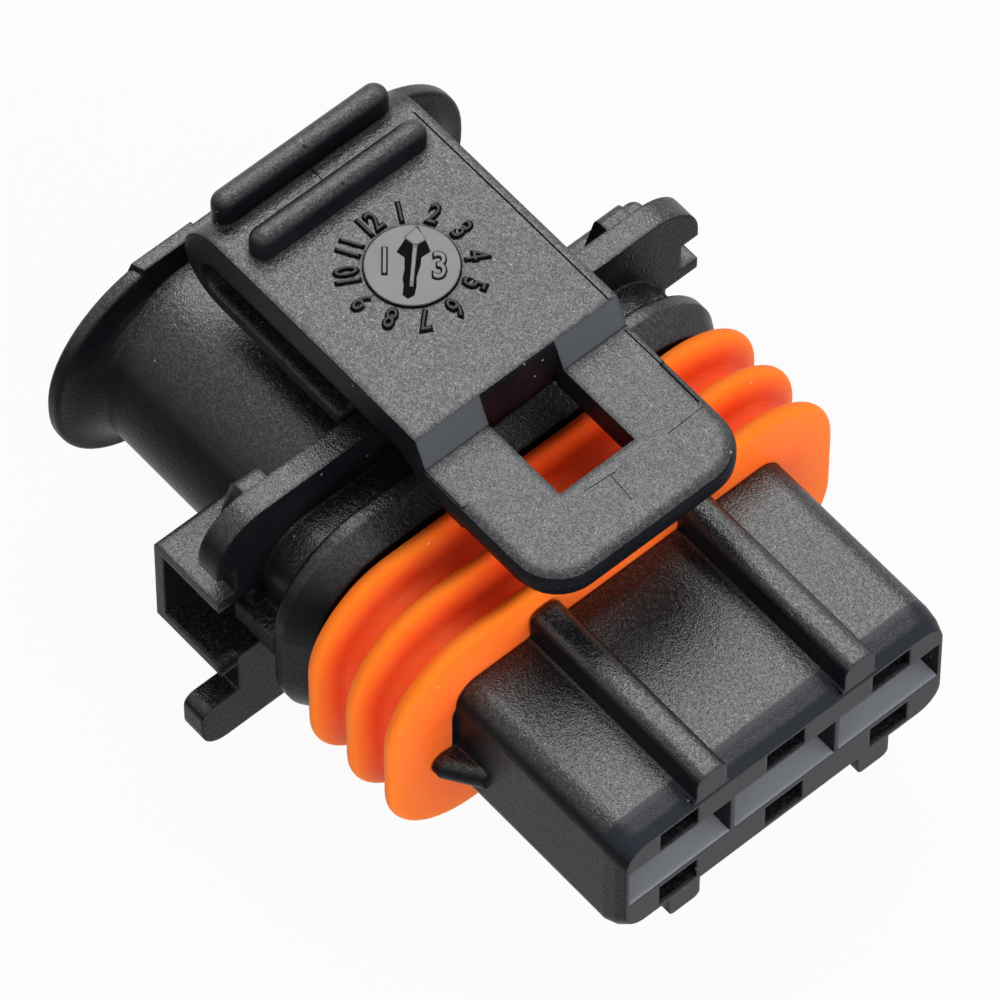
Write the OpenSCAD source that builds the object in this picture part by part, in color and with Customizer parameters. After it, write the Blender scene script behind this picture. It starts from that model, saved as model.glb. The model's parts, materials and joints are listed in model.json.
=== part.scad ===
// Three-way sealed automotive connector: socket housing with a rocking latch and a radial seal.
// Millimetres. X is the mating axis (the mating face is at x = 0 and looks along +X),
// Y is the width, Z is up. The latch is on top.

/* [Contacts] */
// Distance between neighbouring contacts
pitch = 5; // [4.9:0.05:5.2]
// Height of the contact axis above the body axis
contact_z = 0.57; // [0.45:0.01:0.65]
// Width of a contact box
box_w = 2.9; // [2.6:0.05:3]
// Height of a contact box
box_h = 2.2; // [2:0.05:2.3]
// Sheet thickness of a contact
contact_t = 0.25; // [0.15:0.05:0.3]
// Width of the wire crimp
crimp_w = 1.5; // [1.3:0.05:1.6]

/* [Front block] */
// Wall between two neighbouring front mouths
web = 0.2; // [0.16:0.02:0.5]
// Wall outside the outer front mouths
side_wall = 0.34; // [0.3:0.02:0.5]
// Height of a front mouth
mouth_h = 2.1; // [1.8:0.05:2.2]
// Width of the small windows above and below each mouth
window_w = 1.77; // [1.4:0.01:2.2]
// Length of the front block, from the mating face to the radial seal
block_len = 8.95; // [8.6:0.05:9.2]
// Top of the front block
block_top = 3.25; // [3.15:0.05:3.5]
// Underside of the front block
block_bottom = -2.95; // [-3.2:0.05:-2.85]
// Corner radius of the front block
block_r = 1; // [0.8:0.1:1.2]
// Width of a top rib
rib_w = 1.4; // [1.1:0.1:1.8]
// Height of the ribs above the block
rib_h = 1.35; // [1:0.05:1.5]
// Distance of a top rib from the middle
rib_y = 3.48; // [3.2:0.02:3.8]
// Width of a coding key
key_w = 1.46; // [1.2:0.02:1.7]

/* [Radial seal] */
// Radial thickness of the seal over a lip
seal_t = 2.65; // [2.4:0.05:2.8]
// Distance between two lips
lip_pitch = 2.07; // [1.9:0.01:2.2]
// Depth of the grooves between the lips
groove_d = 1.15; // [0.9:0.05:1.3]
// Half height of the seat that carries the seal
seat_hh = 2.8; // [2.6:0.05:3]

/* [Rear body] */
// Length of the rear tube with its bell, behind the flange
tube_len = 10.7; // [10:0.1:11.5]
// Thickness of the collar behind the seal
collar_t = 0.6; // [0.5:0.05:0.9]
// Gap between the collar and the flange
neck_len = 1.58; // [1.5:0.01:1.9]
// Thickness of the flange
flange_t = 1.03; // [0.9:0.01:1.2]
// Half width over the upper ears of the flange
ear_hw = 11.35; // [11.1:0.05:11.6]
// Top of the flange
flange_top = 6.42; // [6.2:0.02:6.6]
// Half width over the lower arms of the flange
arm_hw = 12.3; // [11.9:0.05:12.6]
// Underside of the lower arms
arm_bottom = -6.65; // [-6.9:0.05:-6.5]
// Half width of the cross channel
channel_hw = 11.35; // [11.2:0.05:11.6]
// Half width of the rear tube
tube_hw = 8.15; // [8:0.05:8.5]
// Half height of the rear tube
tube_hh = 4.25; // [4.2:0.05:4.5]
// Distance that the bell mouth stands out from the tube at its sides
bell_out = 1.55; // [1.2:0.05:1.7]
// Radius of a bore for a wire seal
seal_bore_r = 2.1; // [2:0.05:2.15]
// Radius of the wire hole in a wire seal
wire_r = 0.75; // [0.5:0.05:1]

/* [Latch] */
// Half width of the ribbed rear of the latch
latch_hw = 4.7; // [4.5:0.05:4.8]
// Half width of the front of the latch
latch_front_hw = 4.87; // [4.75:0.01:5]
// Height of the rear of the latch above the flange
latch_rise = 3.63; // [3.5:0.01:3.8]
// Step down from the rear of the latch to its front
latch_step = 1.3; // [1.2:0.05:1.45]
// Half width of the catch window
catch_hw = 1.75; // [1.5:0.05:2]
// Thickness of the leg that the latch bends on
leg_t = 0.6; // [0.5:0.05:0.7]
// Height of the thumb ribs above the latch
thumb_h = 1.05; // [0.8:0.05:1.2]

/* [Secondary lock] */
// Travel of the secondary lock from locked to open
lock_travel = 1.5; // [1.4:0.05:1.6]
// Distance from the middle to the lock's inner end
lock_reach = 8.2; // [8:0.05:8.3]

/* [Hidden] */
$fn = 48;
eps = 0.01;
slice = 0.05;                        // thickness of the slices that a hull joins
hull_fn = 32;
sides = [-1, 1];

black = "#26272a";
orange = "#f0652f";
tin = "#b9babb";
steel = "#9a9b9c";
seal_grey = "#3f5f9a";

places = [-pitch, 0, pitch];

// the front block, its lead-in to the mating face, ribs and keys
block_hw = 1.5 * pitch + 0.15;
mouth_w = 2 * (block_hw - side_wall - web) / 3;
mouth_step = mouth_w + web;
lead = 1;
lead_side = 0.18;
lead_top = 0.3;
lead_bottom = 0.75;
rib_top = block_top + rib_h;
rib_cove = 0.12;                     // radius of the coves at a rib's foot
rib_round = 0.5;
rib_root = 0.2;                      // how deep a rib reaches into the block
front_set = 0.02;                    // ribs and keys stop this far behind the mating face
key_y = [-4.66, 4.33];
key_drop = 0.45;
key_round = 0.3;

// the radial seal: a swept section, whose corners swing round corner_y, corner_z
seal_front = -block_len;
lip_half = 0.32;                     // radius of a lip's crest
lip_set = 0.5;                       // the front lip's crest stands this far behind the seal's end
seal_gap = 0.02;
lip_x = seal_front - seal_gap - lip_set;
seal_tail = 0.75;                    // length behind the crest of the rear lip
seal_rear = lip_x - 2 * lip_pitch - seal_tail;
valley_r = 0.46;
flank_a = 65;                        // lean of a lip's flanks
seat_step = 0.18;                    // the seat stands this far outside the block's sides
seat_hw = block_hw + seat_step;
seat_r = 1.35;
corner_r = seat_r + seal_t;
corner_y = seat_hw - seat_r;
corner_z = seat_hh - seat_r;
lip_hw = seat_hw + seal_t;
lip_hh = seat_hh + seal_t;

// the rounded nubs that hold the seal on
nub_z = -0.75;
nub_r = 0.55;
nub_out = 1.15;
nub_len = 1.7;
nub_land = 0.35;
nub_root = 0.3;                      // how deep a nub reaches into the block

// the collar, and the land in front of it that falls towards the seal's last lip
collar_in = 0.28;
collar_hw = lip_hw - collar_in;
collar_hh = lip_hh - 0.05;
collar_r = corner_r + 0.05;
collar_round = 0.2;
collar_core = 1;                     // the sweep of the collar reaches this far inwards
land_in = 0.62;
land_len = 1.09;
collar_front = seal_rear - land_len;
collar_rear = collar_front - collar_t;

// the neck, with a rail at each side that runs to the flange
neck_in = 1;
neck_hh = collar_hh - 1.2;
neck_r = 2;
rail_hw = collar_hw - 0.02;
rail_z = [-0.22, 0.73];
wall_hw = collar_hw - 0.5;           // half width of the neck's wall above the rails

// the flange
flange_front = collar_rear - neck_len;
flange_rear = flange_front - flange_t;
ear_r = 2.1;
ear_under = 3.9;
waist_hw = ear_hw - 0.8;
waist_r = 1;
arm_h = 2.5;
arm_r = 1.15;
arm_edge = 0.5;                      // radius of an arm's upper corner

// the gussets behind the ears
gusset_y = 8.55;
gusset_w = 1.1;
gusset_r = 0.45;
gusset_top = flange_top - 0.3;
gusset_len = 1.7;

// the cross channel for the secondary lock
channel_front = flange_front;
channel_len = 3.58;
channel_round = 0.35;                // radius of the box's upper rear edge
floor_round = 0.45;                  // radius of the floor's front edge
corner_round = 0.6;                  // radius of the box's rear right corner
channel_rear = channel_front - channel_len;
channel_z = [-2.45, 2.42];
channel_roof = 0.6;
channel_wall = 0.5;
slot_z = [channel_z[0] + channel_wall, channel_z[1] - channel_roof];
slot_rear = channel_rear + channel_wall;
slot_lead = 0.75;                    // how far the lock's slot reaches in front of the channel
guide_front = collar_rear - 0.2;     // the open guide under the side rail

// the rear tube, its bell mouth and the recess with the wire seals
body_rear = flange_rear - tube_len;
tube_r = tube_hh - 0.05;
bell_hw = tube_hw + bell_out;
bell_hh = tube_hh + 0.9;
bell_r = bell_hh - 0.2;
bell_t = 0.65;                       // thickness of the ring at the end of the bell
bell_rim = 0.2;
bell_core = 1;
flare_r = 1.3;                       // radius of the hollow between the tube and the ring
recess_wall = 0.75;
recess_floor = body_rear + 2.8;
seal_bore_len = 4.1;

// the cavities
front_wall = 1.8;
window_low = [-1.98, -0.78];
window_high = [1.75, 2.8];
window_depth = 6.4;
cavity_w = pitch - 1.3;
cavity_h = 3;
cavity_rear = recess_floor + seal_bore_len;

// the latch, from the root on the flange round the bend to the front edge
root_gap = 0.05;
root_r = leg_t / 2;
root = [flange_rear - root_gap - root_r, flange_top - 0.02];
latch_top = flange_top + latch_rise;
latch_t = 1.6;
latch_under = latch_top - latch_t;
bend_r = 1.9;
bend_x = root[0] - 6.3;
bend_z = latch_top - bend_r;
inner_r = 0.83;
inner_set = 0.15;
crease_x = root[0] + 4.46;
slope_x = crease_x + 0.55;
front_top = latch_top - latch_step;
front_t = 1.35;
front_under = front_top - front_t;
front_lap = 2;                       // length over which the rear's section runs into the front
latch_front = root[0] + 11.96;
front_r = 2;
front_edge = 0.45;
front_low = 0.55;                    // radius of the plate's lower edge
catch_x = [crease_x + 0.1, latch_front - 3.15];
thumb_x = [bend_x - 1.04, bend_x + 1.06];
thumb_r = 0.54;
thumb_hw = latch_hw - 0.7;
thumb_root = 0.4;
dial_x = root[0] - 1.19;
dial_r = 1.73;
dial_h = 0.1;

// the secondary lock: a comb whose slots hold the contacts behind their boxes
lock_clear = 0.1;
lock_rear = slot_rear + lock_clear;
lock_front = channel_front + slot_lead - lock_clear / 2;
lock_z = [slot_z[0] + lock_clear, slot_z[1] - lock_clear];
lock_floor = -0.8;
lock_end = channel_hw - 0.95;        // the end behind the channel's right mouth
comb_end = 7.4;                      // the teeth stop here, inside the neck's wall
comb_rear = flange_rear + 0.4;
crimp_clear = 0.2;
lock_slot = crimp_w + 2 * crimp_clear;

// the contacts and the spring sleeves on them
lock_gap = 0.15;
contact_rear = lock_front + lock_gap;
contact_front = -7.6;
sleeve_t = 0.2;
sleeve_gap = 0.02;
sleeve_rear = 0.4;
sleeve_front = 0.8;
pass_clear = 0.08;
lock_window = box_w + 2 * (sleeve_t + sleeve_gap + pass_clear);
crimp_z = [-0.9, 0.7];
crimp_t = 0.3;
crimp_gap = 0.2;
box_back = 0.5;

// the wire seals
wire_seal_gap = 0.03;
wire_lip_r = 0.4;
wire_lips = [0.4, 1.7, 3];
wire_waist = 0.5;

function arc(cx, cy, r, a0, a1, n = 12) =
    [for (i = [0:n]) let (a = a0 + (a1 - a0) * i / n) [cx + r * cos(a), cy + r * sin(a)]];

// draws in the Y-Z plane and extrudes from x = a to x = b
module along_x(a, b) {
    translate([a, 0, 0]) rotate([90, 0, 90]) linear_extrude(b - a) children();
}

// draws in the X-Z plane and extrudes hw either side of y = 0
module across(hw) {
    translate([0, hw, 0]) rotate([90, 0, 0]) linear_extrude(2 * hw) children();
}

// a rounded rectangle in the Y-Z plane, hw either side of y = 0
module plate(hw, bottom, top, r) {
    translate([-hw + r, bottom]) square([2 * (hw - r), top - bottom]);
    translate([-hw, bottom + r]) square([2 * hw, top - bottom - 2 * r]);
    for (y = [-hw + r, hw - r])
        for (z = [bottom + r, top - r])
            translate([y, z]) circle(r);
}

// sweeps a section, drawn as [distance from the corner's centre, x], round four corners
module swept(cy, cz) {
    rotate([90, 0, 90])
        for (q = [0:3]) rotate([0, 0, q * 90]) {
            side = q % 2 == 0 ? cy : cz;
            run = q % 2 == 0 ? cz : cy;
            translate([side, run, 0]) rotate_extrude(angle = 90) children();
            translate([side, run, 0]) rotate([90, 0, 0]) linear_extrude(2 * run) children();
        }
}

module box(x, y, z) {
    translate([x[0], y[0], z[0]]) cube([x[1] - x[0], y[1] - y[0], z[1] - z[0]]);
}

/* the housing */

module front_block() {
    along_x(seal_front, -lead) plate(block_hw, block_bottom, block_top, block_r);
    hull() {
        along_x(-lead - slice, -lead)
            plate(block_hw, block_bottom, block_top, block_r, $fn = hull_fn);
        along_x(-lead / 2, -lead / 2 + slice)
            plate(block_hw - lead_side * 0.3, block_bottom + lead_bottom * 0.4,
                block_top - lead_top * 0.3, block_r, $fn = hull_fn);
        along_x(-slice, 0)
            plate(block_hw - lead_side, block_bottom + lead_bottom, block_top - lead_top,
                block_r, $fn = hull_fn);
    }
}

// a rib with a rounded top and coves at its foot
module rib_section() {
    foot = rib_w / 2 + rib_cove;
    polygon(concat(
        [[-foot, block_top - rib_root]],
        arc(-foot, block_top + rib_cove, rib_cove, -90, 0, 6),
        arc(-rib_w / 2 + rib_round, rib_top - rib_round, rib_round, 180, 90, 6),
        arc(rib_w / 2 - rib_round, rib_top - rib_round, rib_round, 90, 0, 6),
        arc(foot, block_top + rib_cove, rib_cove, 180, 270, 6),
        [[foot, block_top - rib_root]]));
}

module ribs() {
    for (s = sides)
        along_x(seal_front, -front_set) translate([s * rib_y, 0]) rib_section();
}

// the coding keys under the block
module keys() {
    for (y = key_y)
        along_x(seal_front, -front_set) translate([y, 0])
            plate(key_w / 2, block_bottom - key_drop, block_bottom + lead_bottom + block_r / 2,
                key_round);
}

module seal_nubs() {
    for (s = sides)
        hull() {
            translate([seal_front, s * (block_hw + nub_out - nub_r), nub_z]) rotate([0, 90, 0])
                cylinder(r = nub_r, h = nub_land, $fn = hull_fn);
            translate([seal_front, s * (block_hw - nub_root), nub_z]) rotate([0, 90, 0])
                cylinder(r = nub_r, h = nub_len, $fn = hull_fn);
        }
}

module seal_seat() {
    along_x(collar_front, seal_front) plate(seat_hw, -seat_hh, seat_hh, seat_r);
}

// the collar's edge: a rounded rear corner, a flat, and the land that falls to the seal
module collar_section() {
    front = seal_rear - seal_gap;
    polygon(concat(
        [[collar_r - 2 * collar_core, front], [collar_r - 2 * collar_core, collar_rear]],
        arc(collar_r - collar_round, collar_rear + collar_round, collar_round, -90, 0, 6),
        [[collar_r, collar_front], [collar_r - land_in, front]]));
}

module collar() {
    swept(collar_hw - collar_r, collar_hh - collar_r) collar_section();
    along_x(collar_rear, seal_rear - seal_gap)
        plate(collar_hw - collar_core, -collar_hh + collar_core, collar_hh - collar_core,
            collar_r - collar_core);
}

module neck() {
    along_x(flange_rear, collar_rear + eps)
        plate(collar_hw - neck_in, -neck_hh, neck_hh, neck_r);
    for (s = sides)
        box([flange_front - eps, collar_rear + eps],
            s < 0 ? [-rail_hw, -rail_hw + neck_in + 0.2] : [rail_hw - neck_in - 0.2, rail_hw], rail_z);
}

module arms() {
    low = arm_bottom + arm_r;
    high = arm_bottom + arm_h - arm_edge;
    polygon(concat(
        arc(arm_hw - arm_r, low, arm_r, -90, 0, 8),
        arc(arm_hw - arm_edge, high, arm_edge, 0, 90, 5),
        arc(-arm_hw + arm_edge, high, arm_edge, 90, 180, 5),
        arc(-arm_hw + arm_r, low, arm_r, 180, 270, 8)));
}

// the plate behind the collar: ears at the top, longer arms at the bottom
module flange() {
    along_x(flange_rear, flange_front) difference() {
        union() {
            plate(ear_hw, 0, flange_top, ear_r);
            plate(waist_hw, arm_bottom + waist_r / 2, flange_top - waist_r, waist_r);
            arms();
        }
        for (s = sides)
            translate([s > 0 ? waist_hw : -waist_hw - 2 * ear_r, channel_z[1]])
                square([2 * ear_r, ear_under - channel_z[1]]);
    }
}

module channel_box() {
    r = channel_round;
    nose = channel_roof / 2;
    across(channel_hw)
        polygon(concat(
            [[channel_rear, channel_z[0]], [channel_front, channel_z[0]],
                [channel_front, slot_z[1] - eps], [channel_front - nose, slot_z[1] - eps]],
            arc(channel_front - nose, channel_z[1] - nose, nose, -90, 90, 8),
            arc(channel_rear + r, channel_z[1] - r, r, 90, 180, 5)));
}

module gussets() {
    for (s = sides)
        translate([0, s * gusset_y, 0]) across(gusset_w / 2)
            polygon(concat(
                [[flange_rear + eps, channel_z[1] - slice], [flange_rear + eps, gusset_top]],
                arc(flange_rear - gusset_r, gusset_top - gusset_r, gusset_r, 90, 165, 6),
                [[flange_rear - gusset_len, channel_z[1] - slice]]));
}

// what the rounded corner at the rear right of the channel box takes off
module channel_corner() {
    x = channel_rear + corner_round;
    y = channel_hw - corner_round;
    difference() {
        box([channel_rear - 1, x], [y, channel_hw + 1], [channel_z[0] - eps, channel_z[1] + eps]);
        translate([x, y, channel_z[0] - 1])
            cylinder(r = corner_round, h = channel_z[1] - channel_z[0] + 2);
    }
}

// what the rounded front edges of the channel's floor take off
module floor_lips() {
    x = channel_front - floor_round;
    z = slot_z[0] - floor_round;
    for (y = [[-channel_hw - 1, -waist_hw], [waist_hw, channel_hw + 1]])
        difference() {
            box([x, channel_front + 1], y, [z, slot_z[0] + eps]);
            translate([x, y[0] - 1, z]) rotate([-90, 0, 0])
                cylinder(r = floor_round, h = y[1] - y[0] + 2);
        }
}

// the slot that the secondary lock slides in, open at both sides and towards the collar
module channel_slot() {
    out = channel_hw + 1;
    x = comb_rear + lock_clear;
    box([slot_rear, x], [-out, out], slot_z);
    box([x - eps, guide_front], [-out, out], [slot_z[0], rail_z[0]]);
    for (y = [[-out, -rail_hw], [rail_hw, out]])
        box([x - eps, guide_front], y, slot_z);
    for (y = [[-out, -wall_hw], [wall_hw, out]])
        box([x - eps, guide_front], y, [rail_z[1], slot_z[1]]);
    channel_corner();
    floor_lips();
    box([x - eps, channel_front + slot_lead],
        [-lock_reach - lock_clear, comb_end + lock_travel + lock_clear], slot_z);
}

module rear_tube() {
    along_x(body_rear, flange_rear + eps) plate(tube_hw, -tube_hh, tube_hh, tube_r);
}

// the ring at the end of the tube and the hollow flare in front of it
module bell_section() {
    ring = body_rear + bell_t;
    flare = bell_r - bell_rim;
    polygon(concat(
        [[bell_r - bell_core - flare_r, body_rear]],
        arc(flare, body_rear + bell_rim, bell_rim, -90, 0, 5),
        arc(flare, ring - bell_rim, bell_rim, 0, 90, 5),
        arc(flare - 0.1, ring + flare_r, flare_r, 270, 180, 8),
        [[bell_r - bell_core - flare_r, ring + flare_r]]));
}

module bell() {
    swept(bell_hw - bell_r, bell_hh - bell_r) bell_section();
}

module rear_recess() {
    along_x(body_rear - 1, recess_floor)
        plate(tube_hw - recess_wall, -tube_hh + recess_wall, tube_hh - recess_wall,
            tube_r - recess_wall);
}

module cavities() {
    for (i = [-1:1]) translate([0, i * mouth_step, 0])
        box([-front_wall - eps, eps], [-mouth_w / 2, mouth_w / 2],
            [contact_z - mouth_h / 2, contact_z + mouth_h / 2]);
    for (y = places) translate([0, y, 0]) {
        for (z = [window_low, window_high])
            box([-window_depth, eps], [-window_w / 2, window_w / 2], z);
        box([cavity_rear, -front_wall], [-cavity_w / 2, cavity_w / 2],
            [contact_z - cavity_h / 2, contact_z + cavity_h / 2]);
        translate([recess_floor - 1, 0, contact_z]) rotate([0, 90, 0])
            cylinder(r = seal_bore_r, h = seal_bore_len + 1 + eps);
    }
}

module housing() {
    color(black) difference() {
        union() {
            front_block();
            ribs();
            keys();
            seal_nubs();
            seal_seat();
            collar();
            neck();
            flange();
            channel_box();
            gussets();
            rear_tube();
            bell();
        }
        cavities();
        channel_slot();
        rear_recess();
    }
}

/* the latch */

// the leg, the bend and the rear of the latch, down to the start of its front
module latch_section() {
    polygon(concat(
        [[root[0], root[1] - root_r]],
        arc(bend_x, bend_z, bend_r, 270, 90, 24),
        [[crease_x, latch_top], [slope_x, front_top], [slope_x + front_lap, front_top],
            [slope_x + front_lap, front_under], [slope_x - 0.3, front_under],
            [crease_x - 0.4, latch_under - 0.25], [crease_x - 0.9, latch_under]],
        arc(bend_x - inner_set, latch_under - inner_r, inner_r, 90, 270, 16),
        [[root[0], root[1] + root_r]]));
}

module front_outline(inset) {
    w = latch_front_hw - inset;
    x1 = latch_front - inset;
    r = front_r - inset;
    translate([slope_x, -w]) square([x1 - r - slope_x, 2 * w]);
    translate([slope_x, -w + r]) square([x1 - slope_x, 2 * (w - r)]);
    for (y = [-w + r, w - r])
        translate([x1 - r, y]) circle(r);
}

module latch_front_plate() {
    edge = front_top - front_edge;
    translate([0, 0, front_under + front_low])
        linear_extrude(edge - front_under - front_low) front_outline(0);
    hull() {
        translate([0, 0, front_under])
            linear_extrude(eps) front_outline(front_low, $fn = hull_fn);
        translate([0, 0, front_under + front_low * 0.3])
            linear_extrude(eps) front_outline(front_low * 0.3, $fn = hull_fn);
        translate([0, 0, front_under + front_low])
            linear_extrude(eps) front_outline(0, $fn = hull_fn);
    }
    hull() {
        translate([0, 0, edge - eps]) linear_extrude(eps) front_outline(0, $fn = hull_fn);
        translate([0, 0, front_top - front_edge * 0.3])
            linear_extrude(eps) front_outline(front_edge * 0.3, $fn = hull_fn);
        translate([0, 0, front_top - eps]) linear_extrude(eps) front_outline(front_edge, $fn = hull_fn);
    }
}

module thumb_rib(x) {
    reach = thumb_hw - thumb_r;
    z = latch_top + thumb_h - thumb_r;
    foot = latch_top - thumb_root;
    translate([x, -reach, z]) rotate([-90, 0, 0]) cylinder(r = thumb_r, h = 2 * reach);
    for (y = [-reach, reach]) {
        translate([x, y, z]) sphere(thumb_r);
        translate([x, y, foot]) cylinder(r = thumb_r, h = z - foot);
    }
    box([x - thumb_r, x + thumb_r], [-reach, reach], [foot, z]);
}

module latch() {
    color(black) difference() {
        union() {
            across(latch_hw) latch_section();
            translate([root[0], latch_hw, root[1]]) rotate([90, 0, 0])
                cylinder(r = root_r, h = 2 * latch_hw);
            latch_front_plate();
            for (x = thumb_x) thumb_rib(x);
            translate([dial_x, 0, latch_top - dial_h]) cylinder(r = dial_r, h = 2 * dial_h);
        }
        box(catch_x, [-catch_hw, catch_hw], [front_under - 1, latch_top + 1]);
    }
}

/* the radial seal */

// the seal's wall with its three lips, as [distance from the corner centre, x]
module seal_section() {
    crest = corner_r - lip_half;
    valley = corner_r - groove_d + valley_r;
    polygon(concat(
        [[seat_r, seal_rear], [corner_r - groove_d, seal_rear]],
        arc(crest, lip_x - 2 * lip_pitch, lip_half, -flank_a, flank_a, 10),
        arc(valley, lip_x - 1.5 * lip_pitch, valley_r, 180 + flank_a, 180 - flank_a, 6),
        arc(crest, lip_x - lip_pitch, lip_half, -flank_a, flank_a, 10),
        arc(valley, lip_x - 0.5 * lip_pitch, valley_r, 180 + flank_a, 180 - flank_a, 6),
        arc(crest, lip_x, lip_half, -flank_a, 90, 12),
        [[seat_r, seal_front - seal_gap]]));
}

module radial_seal() {
    color(orange) swept(corner_y, corner_z) seal_section();
}

/* the lock, contacts and wire seals */

// a bar across the channel with teeth in front; it opens by sliding out to the right
module secondary_lock() {
    x = [lock_rear - 1, lock_front + 1];
    z = [lock_floor, lock_z[1] + 1];
    color(black) difference() {
        union() {
            box([lock_rear, comb_rear], [-lock_reach, lock_end], lock_z);
            box([comb_rear - eps, lock_front], [-lock_reach, comb_end], lock_z);
        }
        for (y = places) {
            box(x, [y - lock_travel, y + lock_slot / 2], z);
            box(x, [y - lock_travel - lock_window / 2, y - lock_travel + lock_window / 2], z);
        }
    }
}

module contact(y) {
    w = box_w / 2;
    h = box_h / 2;
    color(tin) translate([0, y, contact_z]) {
        difference() {
            box([contact_rear, contact_front], [-w, w], [-h, h]);
            box([contact_rear + 2 * box_back, contact_front + 1], [-w + contact_t, w - contact_t],
                [-h + contact_t, h - contact_t]);
        }
        // the crimp: an open U behind the box
        difference() {
            box([cavity_rear + crimp_gap, contact_rear + box_back],
                [-crimp_w / 2, crimp_w / 2], crimp_z);
            box([cavity_rear - 1, contact_rear + box_back / 2],
                [-crimp_w / 2 + crimp_t, crimp_w / 2 - crimp_t], [crimp_z[0] + crimp_t, crimp_z[1] + 1]);
        }
    }
}

module contact_spring(y) {
    w = box_w / 2 + sleeve_gap;
    h = box_h / 2 + sleeve_gap;
    color(steel) translate([0, y, contact_z]) difference() {
        box([contact_rear + sleeve_rear, contact_front - sleeve_front],
            [-w - sleeve_t, w + sleeve_t], [-h - sleeve_t, h + sleeve_t]);
        box([contact_rear - 1, contact_front + 1], [-w, w], [-h, h]);
    }
}

module wire_seal(y) {
    r = seal_bore_r - wire_seal_gap;
    crest = r - wire_lip_r;
    len = seal_bore_len - 2 * wire_waist;
    color(seal_grey) translate([recess_floor + crimp_gap, y, contact_z]) rotate([0, 90, 0])
        rotate_extrude()
            polygon(concat([[wire_r, 0]],
                arc(crest, wire_lips[0], wire_lip_r, -90, 60, 8),
                arc(crest, wire_lips[1], wire_lip_r, -60, 60, 8),
                arc(crest, wire_lips[2], wire_lip_r, -60, 60, 8),
                [[r - 2 * wire_lip_r, len + wire_waist], [wire_r, len + wire_waist]]));
}

module contact_left() { contact(-pitch); }
module contact_mid() { contact(0); }
module contact_right() { contact(pitch); }
module contact_spring_left() { contact_spring(-pitch); }
module contact_spring_mid() { contact_spring(0); }
module contact_spring_right() { contact_spring(pitch); }
module wire_seal_left() { wire_seal(-pitch); }
module wire_seal_mid() { wire_seal(0); }
module wire_seal_right() { wire_seal(pitch); }

housing();
latch();
radial_seal();
secondary_lock();
contact_left();
contact_mid();
contact_right();
contact_spring_left();
contact_spring_mid();
contact_spring_right();
wire_seal_left();
wire_seal_mid();
wire_seal_right();
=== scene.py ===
import json
import math

import bmesh
import bpy
from mathutils import Matrix, Vector


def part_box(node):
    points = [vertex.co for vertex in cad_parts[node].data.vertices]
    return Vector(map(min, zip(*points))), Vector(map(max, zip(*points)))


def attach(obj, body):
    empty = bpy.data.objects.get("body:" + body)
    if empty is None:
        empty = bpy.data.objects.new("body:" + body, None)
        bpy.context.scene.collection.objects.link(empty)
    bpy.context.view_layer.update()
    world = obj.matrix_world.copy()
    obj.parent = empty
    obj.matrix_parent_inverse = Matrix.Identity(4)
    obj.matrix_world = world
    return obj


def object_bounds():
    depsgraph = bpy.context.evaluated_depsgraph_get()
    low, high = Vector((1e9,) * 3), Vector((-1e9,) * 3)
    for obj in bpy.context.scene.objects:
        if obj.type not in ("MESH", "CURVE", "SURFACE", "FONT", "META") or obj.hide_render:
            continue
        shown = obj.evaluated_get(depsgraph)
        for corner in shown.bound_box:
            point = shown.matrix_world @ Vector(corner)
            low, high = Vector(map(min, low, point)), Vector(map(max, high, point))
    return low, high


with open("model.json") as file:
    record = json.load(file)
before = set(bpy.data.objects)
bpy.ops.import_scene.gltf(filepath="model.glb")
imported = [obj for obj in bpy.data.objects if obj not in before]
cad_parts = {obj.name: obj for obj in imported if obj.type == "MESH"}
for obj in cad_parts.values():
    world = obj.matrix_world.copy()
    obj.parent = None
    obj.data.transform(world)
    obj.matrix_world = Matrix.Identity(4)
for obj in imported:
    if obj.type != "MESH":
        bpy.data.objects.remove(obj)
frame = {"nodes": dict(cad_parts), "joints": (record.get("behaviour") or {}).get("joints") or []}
cad_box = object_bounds()

MM = 0.001

# the camera: where it stands and what it looks along, in the part's own frame
CAMERA_AZIMUTH = math.radians(49.187)
CAMERA_ELEVATION = math.radians(57.583)
CAMERA_PLACE = Vector((149.89, -142.77, 344.29)) * MM
CAMERA_LENS = 407.5
SENSOR_WIDTH = 36

# the lamps: name, azimuth, elevation, distance, side, radiance, whether reflections show them.
# The key stands where up-facing faces mirror it to the camera; the others only fill.
LAMPS = [
    ("key", 229, 60, 0.45, 0.32, 4.2, True),
    ("front", 85, 12, 0.5, 0.5, 4.2, False),
    ("left", 12, 12, 0.5, 0.4, 2.6, False),
    ("right", 135, 28, 0.5, 0.4, 1.5, False),
]
LAMPS_LOOK_AT = Vector((-14, 0, 0)) * MM
WORLD_STRENGTH = 0.07
FLOOR_GREY = 0.5
FLOOR_WHITE = 0.95
FLOOR_REACH = 1.5

# places on the latch, in millimetres; SUNK is how deep thin relief is let in
LATCH_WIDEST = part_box("latch")[1][1] / MM
THUMB_H = 1.05
LATCH_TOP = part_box("latch")[1][2] / MM - THUMB_H
FRONT_TOP = LATCH_TOP - 1.3
TOP_HALF_WIDTH = 4.7
WINDOW_HALF_WIDTH = 1.75
SLOPE_X = (-14.6, -13.9)
THUMB_RIBS_X = (-26.35, -24.25)
SUNK = 0.01

# the date clock, in millimetres: its place, its radii and the height of its letters
DIAL = (frame["joints"][0]["pos_m"][0] / MM - 1.19, 0.0)
DIAL_FACE = LATCH_TOP + 0.12
DIAL_R = 1.7
DIAL_RIM_R = 1.78
MONTH_RING_R = 2.3
MONTH_TURN = -41
MONTH_SIZE = 1.2
YEAR_SIZE = 1.55
ARROW_LEAN = math.radians(-5)

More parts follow.
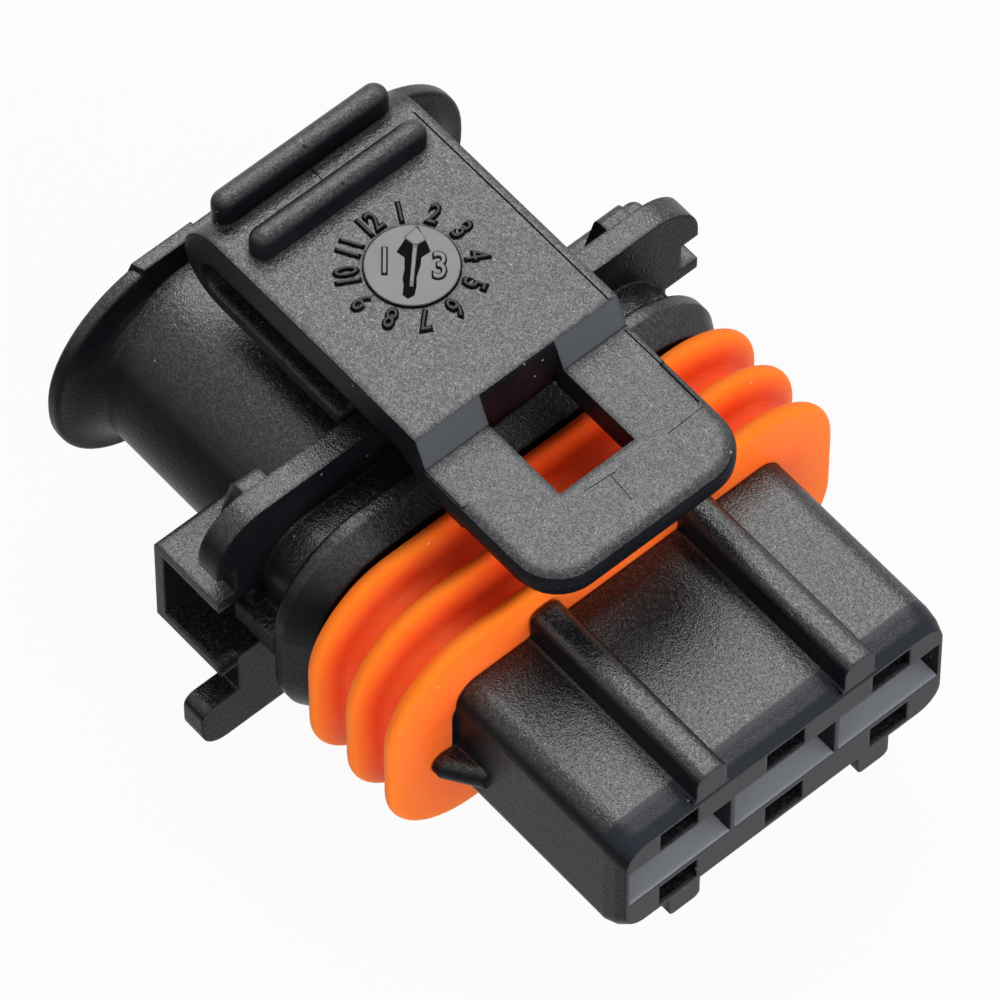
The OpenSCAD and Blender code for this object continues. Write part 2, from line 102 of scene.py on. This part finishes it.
# places on the housing, in millimetres
FRONT_X = (-0.1, 0.5)
MOUTH_X = (-1.9, 0.5)
MOUTH_FLOOR_Z = (-0.52, -0.44)
BAND_X = (-1.25, 0.5)
BAND_Z = (2.0, 4.0)
BELL_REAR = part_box("housing")[0][0] / MM
BELL_RIM_TOP = 5.15
GATE_Y = (-5.7, -5.5, -2.6)

# the seal's lips, where crest highlights are painted, and the reach of the shadow painted where the latch keeps
# the light from them, in millimetres
SEAL_CREST = -9.47
SEAL_PITCH = 2.07
SHADE_Y = (3.2, 6.2)
SHADE_Z = (4.3, 5.0)
SHADE_X = (-10.6, -9.6)

# the black plastic's gloss, and the sizes of its grain
ROUGH = 0.3
SPECULAR = 0.62
FINE_GRAIN = 14500
COARSE_GRAIN = 5200

# the colour sockets of Blender's mix node, which share their names with its other kinds
MIX_FACTOR, MIX_A, MIX_B, MIX_RESULT = 0, 6, 7, 2


def direction(azimuth, elevation):
    """The unit vector that points there, with azimuth turned from -Y towards +X."""
    return Vector((math.sin(azimuth) * math.cos(elevation),
                   -math.cos(azimuth) * math.cos(elevation),
                   math.sin(elevation)))


def make_camera():
    """The photograph's long-lens view, from the front left and well above."""
    back = direction(CAMERA_AZIMUTH, CAMERA_ELEVATION)
    right = Vector((math.cos(CAMERA_AZIMUTH), math.sin(CAMERA_AZIMUTH), 0))
    up = back.cross(right)
    camera = bpy.data.cameras.new("camera")
    camera.lens = CAMERA_LENS
    camera.sensor_width = SENSOR_WIDTH
    camera.clip_start = 0.01
    camera.clip_end = 10
    holder = bpy.data.objects.new("camera", camera)
    turn = Matrix((right, up, back)).transposed()
    holder.matrix_world = Matrix.Translation(CAMERA_PLACE) @ turn.to_4x4()
    bpy.context.scene.collection.objects.link(holder)
    bpy.context.scene.camera = holder


# ---- materials ----

class Nodes:
    """A short way to write a material's node tree."""

    def __init__(self, name):
        self.material = bpy.data.materials.new(name)
        self.material.use_nodes = True
        self.tree = self.material.node_tree
        self.shader = self.tree.nodes["Principled BSDF"]
        self.place = self.add("ShaderNodeTexCoord").outputs["Object"]

    def add(self, kind, **facts):
        made = self.tree.nodes.new(kind)
        for key, value in facts.items():
            setattr(made, key, value)
        return made

    def link(self, a, b):
        self.tree.links.new(a, b)

    def feed(self, socket, value):
        """Give the socket a number, a colour or another node's output."""
        if isinstance(value, tuple):
            socket.default_value = (*value, 1)
        elif isinstance(value, (int, float)):
            socket.default_value = value
        else:
            self.link(value, socket)

    def set(self, **values):
        """Give the shader's sockets their values, with _ for a space in a socket's name."""
        for key, value in values.items():
            socket = self.shader.inputs[key.replace("_", " ")]
            if isinstance(value, bpy.types.NodeSocket):
                self.link(value, socket)
            else:
                socket.default_value = value

    def math(self, operation, a, b=0.0):
        made = self.add("ShaderNodeMath", operation=operation)
        self.feed(made.inputs[0], a)
        self.feed(made.inputs[1], b)
        return made.outputs[0]

    def product(self, first, *others):
        for value in others:
            first = self.math("MULTIPLY", first, value)
        return first

    def rest(self, value):
        """What is missing to 1."""
        return self.math("SUBTRACT", 1.0, value)

    def blend(self, a, a_share, b, b_share):
        return self.math("ADD", self.math("MULTIPLY", a, a_share), self.math("MULTIPLY", b, b_share))

    def ramp(self, value, low, high):
        """0 below low, 1 above high and smooth between."""
        made = self.add("ShaderNodeMapRange", interpolation_type="SMOOTHSTEP", clamp=True)
        self.link(value, made.inputs["Value"])
        made.inputs["From Min"].default_value = low
        made.inputs["From Max"].default_value = high
        return made.outputs["Result"]

    def between(self, value, low, high, soft=0.03):
        """1 where the value, in metres, lies between low and high millimetres."""
        rising = self.ramp(value, (low - soft) * MM, (low + soft) * MM)
        falling = self.ramp(value, (high - soft) * MM, (high + soft) * MM)
        return self.product(rising, self.rest(falling))

    def noise(self, scale, detail=2.0, roughness=0.5):
        made = self.add("ShaderNodeTexNoise")
        made.inputs["Scale"].default_value = scale
        made.inputs["Detail"].default_value = detail
        made.inputs["Roughness"].default_value = roughness
        self.link(self.place, made.inputs["Vector"])
        return made.outputs[0]

    def mix(self, factor, a, b):
        made = self.add("ShaderNodeMix", data_type="RGBA")
        self.feed(made.inputs[MIX_FACTOR], factor)
        self.feed(made.inputs[MIX_A], a)
        self.feed(made.inputs[MIX_B], b)
        return made.outputs[MIX_RESULT]

    def bump(self, height, strength, distance, under=None):
        made = self.add("ShaderNodeBump")
        made.inputs["Strength"].default_value = strength
        made.inputs["Distance"].default_value = distance
        self.link(height, made.inputs["Height"])
        if under is not None:
            self.link(under, made.inputs["Normal"])
        return made.outputs["Normal"]

    def rounded(self, radius):
        """The normal, with sharp edges shaded as if rounded to that radius."""
        made = self.add("ShaderNodeBevel")
        made.samples = 3
        made.inputs["Radius"].default_value = radius
        return made.outputs["Normal"]

    def axes(self, source):
        made = self.add("ShaderNodeSeparateXYZ")
        self.link(source, made.inputs[0])
        return made.outputs

    def normal_axes(self):
        return self.axes(self.add("ShaderNodeNewGeometry").outputs["Normal"])

    def specks(self, scale, size):
        """1 in small round specks, one to a cell."""
        made = self.add("ShaderNodeTexVoronoi")
        made.inputs["Scale"].default_value = scale
        self.link(self.place, made.inputs["Vector"])
        return self.math("LESS_THAN", made.outputs["Distance"], size)


def black_plastic(name, tint, edge=0.2):
    """Spark-eroded black nylon: its grain painted pale on faces that look up, as a painted glint, so the sides
    stay darker, as painted shade, and duller.

    tint(n) gives a list of places whose colour is painted light or shade, as (mask, colour, share of
    the grain kept, share of the gloss kept), and edge is the radius of sharp edges, in millimetres.
    """
    n = Nodes(name)
    facing = n.ramp(n.normal_axes()[2], 0.45, 0.97)
    kept = n.math("ADD", n.product(facing, 0.9), 0.1)
    glossy = n.product(n.math("ADD", n.product(facing, 0.92), 0.08), SPECULAR)
    fine = n.noise(FINE_GRAIN, 1.0, 0.5)
    coarse = n.noise(COARSE_GRAIN, 1.5, 0.6)

    # clouds of two blacks, then pale grit painted as glints on faces that look up, then the tinted places with
    # their painted light and shade, then dust
    cloud = n.ramp(n.noise(420, 3.0, 0.6), 0.35, 0.7)
    grit_and_painted_glint = n.ramp(n.blend(fine, 0.65, coarse, 0.35), 0.45, 0.68)
    colour = n.mix(cloud, (0.0035, 0.004, 0.0055), (0.0065, 0.007, 0.0085))
    colour = n.mix(n.product(grit_and_painted_glint, kept), colour, (0.03, 0.031, 0.034))
    grained = 1.0
    for mask, tone, grain_share, gloss_share in tint(n):
        grained = n.product(grained, n.rest(n.product(mask, 1.0 - grain_share)))
        glossy = n.product(glossy, n.rest(n.product(mask, 1.0 - gloss_share)))
        colour = n.mix(mask, colour, tone)
    colour = n.mix(n.product(n.specks(760, 0.032), 0.6), colour, (0.5, 0.5, 0.49))

    # each grain glints by its own amount, and a few sparkle
    glint = n.ramp(n.blend(fine, 0.7, coarse, 0.3), 0.36, 0.64)
    glint = n.product(n.math("SUBTRACT", glint, 0.5), n.product(kept, grained), 0.62)
    sparkle = n.product(n.specks(3300, 0.13), n.product(kept, grained), 0.85)
    glint = n.math("ADD", n.math("ADD", glint, 1.0), sparkle)

    height = n.product(n.blend(fine, 0.7, coarse, 0.7), grained)
    n.set(Base_Color=colour, Roughness=ROUGH, Specular_IOR_Level=n.product(glint, glossy),
          Normal=n.bump(height, 0.8, 0.035 * MM, n.rounded(edge * MM)))
    return n.material


def housing_tints(n):
    """The band behind the block's front edge, darker as painted shade; its smooth front, lighter as painted
    light from the front; and the mouths' polished floors, painted pale bluish grey as a painted reflection.
    """
    x, _, z = n.axes(n.place)
    forward, _, up = n.normal_axes()
    # painted shade: a darker bluish tone and less gloss on the band behind the block's front edge
    band_painted_shade = n.product(n.between(x, *BAND_X, 0.08), n.between(z, *BAND_Z), n.ramp(up, 0.3, 0.8))
    # painted light: the smooth front is given a lighter grey, as if lit from the front
    front = n.product(n.between(x, *FRONT_X), n.ramp(forward, 0.85, 0.95))
    # painted reflection: the mouths' floors are given a pale bluish grey
    floor = n.product(n.between(z, *MOUTH_FLOOR_Z), n.ramp(up, 0.9, 0.95), n.between(x, *MOUTH_X))
    return [(band_painted_shade, (0.012, 0.014, 0.021), 0.5, 0.35),
            (front, (0.03, 0.03, 0.033), 0.0, 1.0),
            (floor, (0.35, 0.365, 0.41), 0.0, 1.0)]


def latch_tints(n):
    """The smooth slope beside the window, painted a pale bluish grey as a painted sheen."""
    x, y, z = n.axes(n.place)
    beside = n.ramp(n.math("ABSOLUTE", y), (WINDOW_HALF_WIDTH - 0.03) * MM, (WINDOW_HALF_WIDTH + 0.03) * MM)
    # painted sheen: the slope beside the window is given a pale bluish grey
    slope_painted_sheen = n.product(n.between(x, *SLOPE_X, 0.07), n.between(z, FRONT_TOP + 0.03, LATCH_TOP + 0.95),
                      n.ramp(n.normal_axes()[0], 0.3, 0.5), beside)
    return [(slope_painted_sheen, (0.072, 0.077, 0.087), 0.5, 1.0)]


def smooth_plastic(name, colour, roughness=0.42, edge=0.03, gloss=0.6):
    n = Nodes(name)
    tone = n.mix(n.ramp(n.noise(900, 3.0, 0.6), 0.3, 0.75), colour, tuple(v * 1.2 for v in colour))
    n.set(Base_Color=tone, Roughness=roughness, Specular_IOR_Level=gloss,
          Normal=n.bump(n.noise(5200, 2.0), 0.12, 0.02 * MM, n.rounded(edge * MM)))
    return n.material


def orange_silicone():
    """Translucent orange silicone: crests painted yellower as a painted highlight, grooves painted redder as
    painted shade, and a painted shadow of deep red under the latch.
    """
    n = Nodes("orange_silicone")
    x, y, z = n.axes(n.place)
    turn = n.product(n.math("SUBTRACT", x, SEAL_CREST * MM), 2 * math.pi / (SEAL_PITCH * MM))
    # painted highlight on the crests, painted shade in the grooves
    crest_highlight = n.ramp(n.math("COSINE", turn), -0.3, 0.9)
    cloud = n.ramp(n.noise(330, 3.0, 0.6), 0.35, 0.7)
    groove = n.mix(cloud, (1.0, 0.1, 0.022), (1.0, 0.15, 0.04))
    colour = n.mix(crest_highlight, groove, (1.0, 0.2, 0.016))
    # painted shadow: deep red on the lips under the latch
    shaded = n.product(n.rest(n.ramp(n.math("ABSOLUTE", y), *(v * MM for v in SHADE_Y))),
                       n.ramp(z, *(v * MM for v in SHADE_Z)),
                       n.rest(n.ramp(x, *(v * MM for v in SHADE_X))))
    colour = n.mix(n.product(shaded, 0.85), colour, (0.9, 0.075, 0.012))
    colour = n.mix(n.product(n.specks(620, 0.03), 0.5), colour, (0.95, 0.75, 0.6))
    height = n.blend(n.noise(900, 3.0, 0.6), 1.0, n.noise(240, 2.0), 1.5)
    n.set(Base_Color=colour, Roughness=0.5, Specular_IOR_Level=0.1, Subsurface_Weight=0.3,
          Subsurface_Radius=(1.0, 0.35, 0.08), Subsurface_Scale=0.7 * MM,
          Normal=n.bump(height, 0.35, 0.06 * MM))
    return n.material


def plain(name, colour, roughness, metallic=0.0):
    n = Nodes(name)
    tone = n.mix(n.ramp(n.noise(700, 2.0), 0.3, 0.7), tuple(v * 0.85 for v in colour), colour)
    n.set(Base_Color=tone, Roughness=roughness, Metallic=metallic,
          Normal=n.bump(n.noise(4000, 2.0), 0.1, 0.02 * MM))
    return n.material


def dress_frame(housing_black):
    """Give every CAD node its finish, chosen by how its name starts."""
    finishes = {
        "housing": housing_black,
        "latch": black_plastic("latch_plastic", latch_tints, edge=0.36),
        "radial_seal": orange_silicone(),
        "secondary_lock": plain("lock_plastic", (0.03, 0.03, 0.033), 0.5),
        "contact_spring": plain("spring_steel", (0.5, 0.5, 0.51), 0.32, 1.0),
        "contact": plain("tinned_copper", (0.7, 0.69, 0.66), 0.3, 1.0),
        "wire_seal": plain("wire_seal_silicone", (0.05, 0.1, 0.3), 0.42),
    }
    for name, node in frame["nodes"].items():
        finish = next(finishes[start] for start in finishes if name.startswith(start))
        node.data.materials.clear()
        node.data.materials.append(finish)


# ---- pieces ----

def mesh_object(name, mesh_data, material, body):
    made = bpy.data.objects.new(name, mesh_data)
    bpy.context.scene.collection.objects.link(made)
    made.data.materials.clear()
    made.data.materials.append(material)
    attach(made, body)
    return made


def words(name, text, place, turn, size, depth, stroke, material, narrow=0.72):
    """Raised characters on the latch, centred on place, turned about Z and made bolder by stroke."""
    curve = bpy.data.curves.new(name, "FONT")
    curve.body = text
    curve.align_x = "CENTER"
    curve.align_y = "CENTER"
    curve.size = size * MM
    curve.extrude = depth / 2 * MM
    curve.offset = stroke * MM
    curve.resolution_u = 3
    temporary = bpy.data.objects.new(name + "_curve", curve)
    bpy.context.scene.collection.objects.link(temporary)
    bpy.context.view_layer.update()
    ready = bpy.data.meshes.new_from_object(temporary.evaluated_get(bpy.context.evaluated_depsgraph_get()))
    bpy.data.objects.remove(temporary)
    ready.transform(Matrix.Translation(Vector((place[0], place[1], place[2] + depth / 2)) * MM)
                    @ Matrix.Rotation(turn, 4, "Z") @ Matrix.Diagonal((narrow, 1, 1, 1)))
    ready.name = name
    return mesh_object(name, ready, material, "latch")


def prism(name, outline, z, height, material, top=1.0, body="latch"):
    """An outline in X-Y, raised from z, whose top is shrunk towards its middle by the factor top."""
    shape = bmesh.new()
    middle = Vector((sum(p[0] for p in outline), sum(p[1] for p in outline))) / len(outline)
    low = [shape.verts.new(Vector((x, y, z)) * MM) for x, y in outline]
    high = []
    for x, y in outline:
        p = middle + (Vector((x, y)) - middle) * top
        high.append(shape.verts.new(Vector((p.x, p.y, z + height)) * MM))
    shape.faces.new(high)
    shape.faces.new(list(reversed(low)))
    count = len(outline)
    for i in range(count):
        j = (i + 1) % count
        shape.faces.new((low[i], low[j], high[j], high[i]))
    bmesh.ops.recalc_face_normals(shape, faces=shape.faces)
    mesh_data = bpy.data.meshes.new(name)
    shape.to_mesh(mesh_data)
    shape.free()
    return mesh_object(name, mesh_data, material, body)


def ribbon(name, points, width, z, height, material):
    """A thin raised line on the latch, along points in X-Y."""
    left = []
    right = []
    for i, p in enumerate(points):
        a = Vector(points[max(i - 1, 0)])
        b = Vector(points[min(i + 1, len(points) - 1)])
        along = (b - a).normalized()
        side = Vector((-along.y, along.x)) * width / 2
        left.append(tuple(Vector(p) + side))
        right.append(tuple(Vector(p) - side))
    return prism(name, left + list(reversed(right)), z, height, material)


# ---- the date clock ----

def on_dial(across, along):
    """A point on the latch, from millimetres across and along the way the dial's digits stand."""
    a = CAMERA_AZIMUTH
    return (DIAL[0] + across * math.cos(a) - along * math.sin(a),
            DIAL[1] + across * math.sin(a) + along * math.cos(a))


def dial_disc(name, radius, z, height, material):
    angles = [math.radians(step) for step in range(0, 360, 5)]
    outline = [on_dial(radius * math.cos(a), radius * math.sin(a)) for a in angles]
    prism(name, outline, z, height, material)


def date_clock(core, dark, pale):
    """The dial and its month ring: raised strokes on wider dark feet of painted shade, a dark rim of painted
    shade round the dial, and a pale dial face and year digits whose paleness is a painted sheen.
    """
    dial_disc("dial_disc", DIAL_R, DIAL_FACE - 0.04, 0.04, pale)
    dial_disc("dial_rim", DIAL_RIM_R, LATCH_TOP - 0.02, 0.05, dark)
    for month in range(1, 13):
        angle = math.radians(30 * month + MONTH_TURN)
        x, y = on_dial(MONTH_RING_R * math.sin(angle), MONTH_RING_R * math.cos(angle))
        turn = CAMERA_AZIMUTH - angle
        words(f"month_{month}_foot", str(month), (x, y, LATCH_TOP - 0.02), turn, MONTH_SIZE, 0.045, 0.085, dark)
        words(f"month_{month}", str(month), (x, y, LATCH_TOP), turn, MONTH_SIZE, 0.12, 0.0, core)
    for text, across, along in (("1", -0.98, 0.1), ("3", 0.98, -0.1)):
        x, y = on_dial(across, along)
        turn = CAMERA_AZIMUTH
        words(f"year_{text}_foot", text, (x, y, DIAL_FACE - SUNK), turn, YEAR_SIZE, 0.03, 0.07, dark, 0.8)
        words(f"year_{text}", text, (x, y, DIAL_FACE), turn, YEAR_SIZE, 0.09, 0.0, pale, 0.8)
    dial_arrow(dark, pale)


def dial_arrow(dark, pale):
    """A pale arrow, head and shaft, whose paleness is a painted sheen; it stands on a wider dark outline of
    painted shade and leans a little.
    """
    def leant(points):
        c, s = math.cos(ARROW_LEAN), math.sin(ARROW_LEAN)
        return [on_dial(x * c - y * s, x * s + y * c) for x, y in points]

    groove = [(-0.22, -1.3), (-0.02, -1.45), (0.2, -1.28), (0.24, -0.9), (0.21, -0.5), (0.3, 0.0),
              (0.3, 0.35), (0.6, 0.62), (0.46, 0.95), (0.04, 1.68), (-0.36, 1.05), (-0.6, 0.5),
              (-0.3, 0.3), (-0.25, -0.2), (-0.28, -0.6), (-0.22, -0.9)]
    head = [(0.0, 1.66), (-0.4, 1.12), (-0.06, 0.86), (0.12, 0.86), (0.42, 1.12)]
    shaft = [(-0.02, -0.95), (0.13, -0.95), (0.12, 0.9), (-0.06, 0.9)]
    prism("dial_arrow_painted_shade", leant(groove), DIAL_FACE - 0.02, 0.03, dark)
    prism("dial_arrow_head", leant(head), DIAL_FACE, 0.05, pale, top=0.85)
    prism("dial_arrow_shaft", leant(shaft), DIAL_FACE, 0.07, pale, top=0.75)


# ---- what the tool leaves ----

def mould_lines(dark):
    """Parting lines and witness marks on the latch."""
    top = LATCH_TOP - SUNK
    plate = FRONT_TOP - SUNK
    inset = 0.34
    side = TOP_HALF_WIDTH - inset
    edge = LATCH_WIDEST - inset
    ribbon("parting_line_top", [(-25.2, side), (-20.0, side + 0.02), (-14.6, side)], 0.06, top, 0.022, dark)
    ribbon("parting_line_plate", [(-13.9, edge - 0.02), (-12.0, edge), (-9.9, edge - 0.04)],
           0.05, plate, 0.022, dark)
    witness_lines = {"right": [(-9.66, edge - 0.06), (-9.6, 2.78)],
                     "left": [(-9.62, 0.32), (-9.72, -1.05)],
                     "middle": [(-9.6, 0.12), (-8.35, 0.02)]}
    for name, points in witness_lines.items():
        ribbon(f"witness_{name}", points, 0.03, plate, 0.015, dark)
    rib_top = LATCH_TOP + THUMB_H - 0.08
    for i, x in enumerate(THUMB_RIBS_X):
        ribbon(f"rib_tick_{i}", [(x - 0.16, 0.0), (x + 0.3, 0.02)], 0.05, rib_top, 0.05, dark)
    ribbon("rib_tick_valley", [(-25.75, 0.0), (-24.85, 0.0)], 0.035, top, 0.02, dark)


def gate_mark(material):
    """The cut-off gate on the bell's rim."""
    rear = BELL_REAR + 0.02
    front = BELL_REAR + 0.62
    outer, bent, inner = GATE_Y
    prism("gate_mark", [(rear, outer), (front, bent), (front, inner), (rear, inner)],
          BELL_RIM_TOP - 0.2, 0.37, material, top=0.9, body="body")


# ---- the stage ----

def show_white(tree, surface, socket, amount):
    """Camera, glossy and transmission rays see that share of a plain white mixed over the surface."""
    nodes, links = tree.nodes, tree.links
    path = nodes.new("ShaderNodeLightPath")
    seen = path.outputs["Is Camera Ray"]
    for ray in ("Is Glossy Ray", "Is Transmission Ray"):
        more = nodes.new("ShaderNodeMath")
        more.operation = "MAXIMUM"
        links.new(seen, more.inputs[0])
        links.new(path.outputs[ray], more.inputs[1])
        seen = more.outputs[0]
    share = nodes.new("ShaderNodeMath")
    share.operation = "MULTIPLY"
    share.inputs[1].default_value = amount
    links.new(seen, share.inputs[0])
    mix = nodes.new("ShaderNodeMixShader")
    white = nodes.new("ShaderNodeEmission" if socket.node.type != "OUTPUT_WORLD" else "ShaderNodeBackground")
    white.inputs["Color"].default_value = (1, 1, 1, 1)
    white.inputs["Strength"].default_value = 1.0
    links.new(share.outputs[0], mix.inputs[0])
    links.new(surface, mix.inputs[1])
    links.new(white.outputs[0], mix.inputs[2])
    links.new(mix.outputs[0], socket)


def make_world():
    world = bpy.data.worlds.new("world")
    world.use_nodes = True
    tree = world.node_tree
    ground = tree.nodes["Background"]
    ground.inputs["Color"].default_value = (0.9, 0.95, 1, 1)
    ground.inputs["Strength"].default_value = WORLD_STRENGTH
    output = next(x for x in tree.nodes if x.type == "OUTPUT_WORLD")
    show_white(tree, ground.outputs[0], output.inputs["Surface"], 1.0)
    bpy.context.scene.world = world


def make_floor():
    low = cad_box[0][2] - 0.02 * MM
    reach = FLOOR_REACH
    shape = bmesh.new()
    corners = [(-reach, -reach), (reach, -reach), (reach, reach), (-reach, reach)]
    shape.faces.new([shape.verts.new((x, y, low)) for x, y in corners])
    mesh_data = bpy.data.meshes.new("floor")
    shape.to_mesh(mesh_data)
    shape.free()
    floor = bpy.data.objects.new("floor", mesh_data)
    bpy.context.scene.collection.objects.link(floor)
    paint = bpy.data.materials.new("floor_white")
    paint.use_nodes = True
    tree = paint.node_tree
    shader = tree.nodes["Principled BSDF"]
    shader.inputs["Base Color"].default_value = (FLOOR_GREY, FLOOR_GREY, FLOOR_GREY, 1)
    shader.inputs["Roughness"].default_value = 0.9
    output = next(x for x in tree.nodes if x.type == "OUTPUT_MATERIAL")
    show_white(tree, shader.outputs[0], output.inputs["Surface"], FLOOR_WHITE)
    mesh_data.materials.append(paint)


def softbox(name, azimuth, elevation, distance, side, radiance, mirrored):
    """A square lamp that looks at the part's middle, from that many metres away."""
    light = bpy.data.lights.new(name, "AREA")
    light.shape = "SQUARE"
    light.size = side
    light.energy = radiance * math.pi * side * side
    away = direction(math.radians(azimuth), math.radians(elevation))
    holder = bpy.data.objects.new(name, light)
    holder.location = LAMPS_LOOK_AT + away * distance
    holder.rotation_euler = away.to_track_quat("Z", "Y").to_euler()
    holder.visible_glossy = mirrored
    bpy.context.scene.collection.objects.link(holder)


make_camera()
bpy.context.scene.view_settings.view_transform = "Standard"
make_world()
make_floor()
for lamp in LAMPS:
    softbox(*lamp)

housing_plastic = black_plastic("housing_plastic", housing_tints)
dress_frame(housing_plastic)

# the dial's pale grey is a painted sheen on the dial face, the year digits and the arrow
dial_painted_sheen = smooth_plastic("dial_painted_sheen_plastic", (0.13, 0.13, 0.13))
# this black is painted shade round the clock's raised marks, and the mould's own dark lines and marks
shade_and_mark_black = smooth_plastic("shade_and_mark_plastic", (0.003, 0.003, 0.0035), 0.8, 0.01, 0.06)
digit_black = smooth_plastic("digit_plastic", (0.008, 0.008, 0.009), 0.4, 0.05, 0.3)
date_clock(digit_black, shade_and_mark_black, dial_painted_sheen)
mould_lines(shade_and_mark_black)
gate_mark(housing_plastic)
